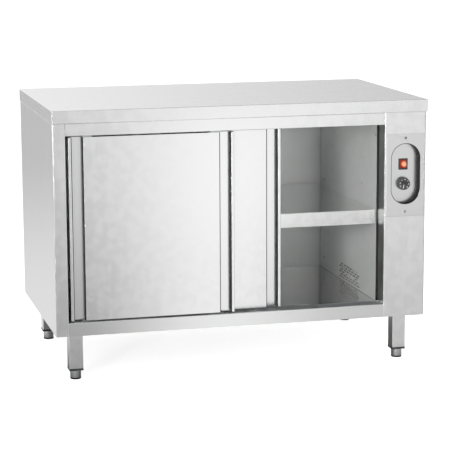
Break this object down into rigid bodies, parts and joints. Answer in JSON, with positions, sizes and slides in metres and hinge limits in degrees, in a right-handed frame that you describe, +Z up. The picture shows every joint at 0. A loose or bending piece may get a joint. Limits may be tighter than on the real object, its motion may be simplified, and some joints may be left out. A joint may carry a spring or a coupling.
{
  "type": "plate warmer cabinet",
  "caption": "Free-standing heated steel cabinet with two sliding doors, a lift-out shelf, a recessed control panel with rocker switch and thermostat knob, and square legs with levelling feet.",
  "frame": {"origin": "centre of the worktop's outline, on the floor", "axes": "+X to the cabinet's right as seen from the front, +Y to the rear, +Z up"},
  "size_m": [1.2, 0.7, 0.85],
  "materials": {
    "worktop_steel": "brushed",
    "panel_steel": "brushed",
    "liner_steel": "satin",
    "shelf_steel": "brushed",
    "zinc_steel": "zinc plated",
    "screw_steel": "bright",
    "foot_steel": "satin",
    "door_steel": "brushed",
    "mineral_wool": "fibrous",
    "black_rubber": "matt",
    "black_plastic": "moulded",
    "knob_plastic": "moulded",
    "grey_plastic": "moulded",
    "lit_plastic": "lit from inside",
    "copper": "drawn"
  },
  "bodies": {
    "root": {"worktop": "worktop_steel", "worktop_stiffeners": "zinc_steel", "left_side_panel": "panel_steel", "right_side_panel": "panel_steel", "rear_panel": "panel_steel", "base_panel": "panel_steel", "top_rail": "panel_steel", "bottom_rail": "panel_steel", "left_stile": "panel_steel", "control_column": "panel_steel", "inner_left_wall": "liner_steel", "inner_right_wall": "liner_steel", "inner_rear_wall": "liner_steel", "inner_floor": "liner_steel", "inner_ceiling": "liner_steel", "insulation": "mineral_wool", "top_track": "zinc_steel", "bottom_guide_channel": "zinc_steel", "closing_seals": "black_rubber", "legs": "panel_steel", "leg_caps": "black_plastic", "shelf_pegs": "zinc_steel", "control_plate": "panel_steel", "recess_ring": "black_rubber", "switch_plate": "panel_steel", "panel_screws": "screw_steel", "thermostat_body": "grey_plastic", "thermostat_sensor": "copper", "switch_housing": "black_plastic", "heater_box": "zinc_steel", "fan_motor": "zinc_steel", "heating_element": "zinc_steel", "terminal_block": "grey_plastic", "mains_gland": "black_plastic", "wiring_loom": "black_plastic"},
    "shelf": {"shelf": "shelf_steel"},
    "knob": {"knob": "knob_plastic", "thermostat_spindle": "zinc_steel"},
    "rocker": {"rocker": "lit_plastic"},
    "fan": {"fan_impeller": "grey_plastic"},
    "front_door": {"front_door_skin": "door_steel", "front_door_back": "door_steel", "front_door_core": "mineral_wool", "front_door_grip_liners": "black_rubber", "front_door_hangers": "zinc_steel", "front_door_guide_shoes": "grey_plastic"},
    "front_door_left_roller": {"front_door_left_wheel": "grey_plastic"},
    "front_door_right_roller": {"front_door_right_wheel": "grey_plastic"},
    "rear_door": {"rear_door_skin": "door_steel", "rear_door_back": "door_steel", "rear_door_core": "mineral_wool", "rear_door_grip_liners": "black_rubber", "rear_door_hangers": "zinc_steel", "rear_door_guide_shoes": "grey_plastic"},
    "rear_door_left_roller": {"rear_door_left_wheel": "grey_plastic"},
    "rear_door_right_roller": {"rear_door_right_wheel": "grey_plastic"},
    "foot_front_left": {"foot_front_left": "foot_steel"},
    "foot_front_right": {"foot_front_right": "foot_steel"},
    "foot_rear_left": {"foot_rear_left": "foot_steel"},
    "foot_rear_right": {"foot_rear_right": "foot_steel"}
  },
  "joints": [
    {"name": "shelf_lift", "type": "slide", "parent": "root", "child": "shelf", "axis": [0, 0, 1], "range_m": [0, 0.168]},
    {"name": "thermostat_knob_turn", "type": "hinge", "parent": "root", "child": "knob", "pos_m": [0.5325, -0.3205, 0.578], "axis": [0, 1, 0], "range_deg": [0, 300]},
    {"name": "switch_rock", "type": "hinge", "parent": "root", "child": "rocker", "pos_m": [0.5325, -0.308, 0.64], "axis": [1, 0, 0], "range_deg": [0, 20]},
    {"name": "fan_spin", "type": "hinge", "parent": "root", "child": "fan", "pos_m": [0.523, 0, 0.226], "axis": [0, 1, 0], "continuous": true},
    {"name": "front_door_slide", "type": "slide", "parent": "root", "child": "front_door", "axis": [1, 0, 0], "range_m": [-0.005, 0.486]},
    {"name": "front_door_left_wheel_spin", "type": "hinge", "parent": "front_door", "child": "front_door_left_roller", "pos_m": [-0.4895, -0.3153, 0.7883], "axis": [0, 1, 0], "range_deg": [-33, 2789]},
    {"name": "front_door_right_wheel_spin", "type": "hinge", "parent": "front_door", "child": "front_door_right_roller", "pos_m": [-0.0895, -0.3153, 0.7883], "axis": [0, 1, 0], "range_deg": [-33, 2789]},
    {"name": "rear_door_slide", "type": "slide", "parent": "root", "child": "rear_door", "axis": [1, 0, 0], "range_m": [-0.164, 0.327]},
    {"name": "rear_door_left_wheel_spin", "type": "hinge", "parent": "rear_door", "child": "rear_door_left_roller", "pos_m": [-0.3305, -0.2853, 0.7883], "axis": [0, 1, 0], "range_deg": [-944, 1878]},
    {"name": "rear_door_right_wheel_spin", "type": "hinge", "parent": "rear_door", "child": "rear_door_right_roller", "pos_m": [0.0695, -0.2853, 0.7883], "axis": [0, 1, 0], "range_deg": [-944, 1878]},
    {"name": "foot_front_left_screw", "type": "slide", "parent": "root", "child": "foot_front_left", "axis": [0, 0, -1], "range_m": [0, 0.05]},
    {"name": "foot_front_right_screw", "type": "slide", "parent": "root", "child": "foot_front_right", "axis": [0, 0, -1], "range_m": [0, 0.05]},
    {"name": "foot_rear_left_screw", "type": "slide", "parent": "root", "child": "foot_rear_left", "axis": [0, 0, -1], "range_m": [0, 0.05]},
    {"name": "foot_rear_right_screw", "type": "slide", "parent": "root", "child": "foot_rear_right", "axis": [0, 0, -1], "range_m": [0, 0.05]}
  ],
  "couplings": [
    {"joint": "front_door_left_wheel_spin", "follows": "front_door_slide", "rad_per_m": 100},
    {"joint": "front_door_right_wheel_spin", "follows": "front_door_slide", "rad_per_m": 100},
    {"joint": "rear_door_left_wheel_spin", "follows": "rear_door_slide", "rad_per_m": 100},
    {"joint": "rear_door_right_wheel_spin", "follows": "rear_door_slide", "rad_per_m": 100}
  ]
}
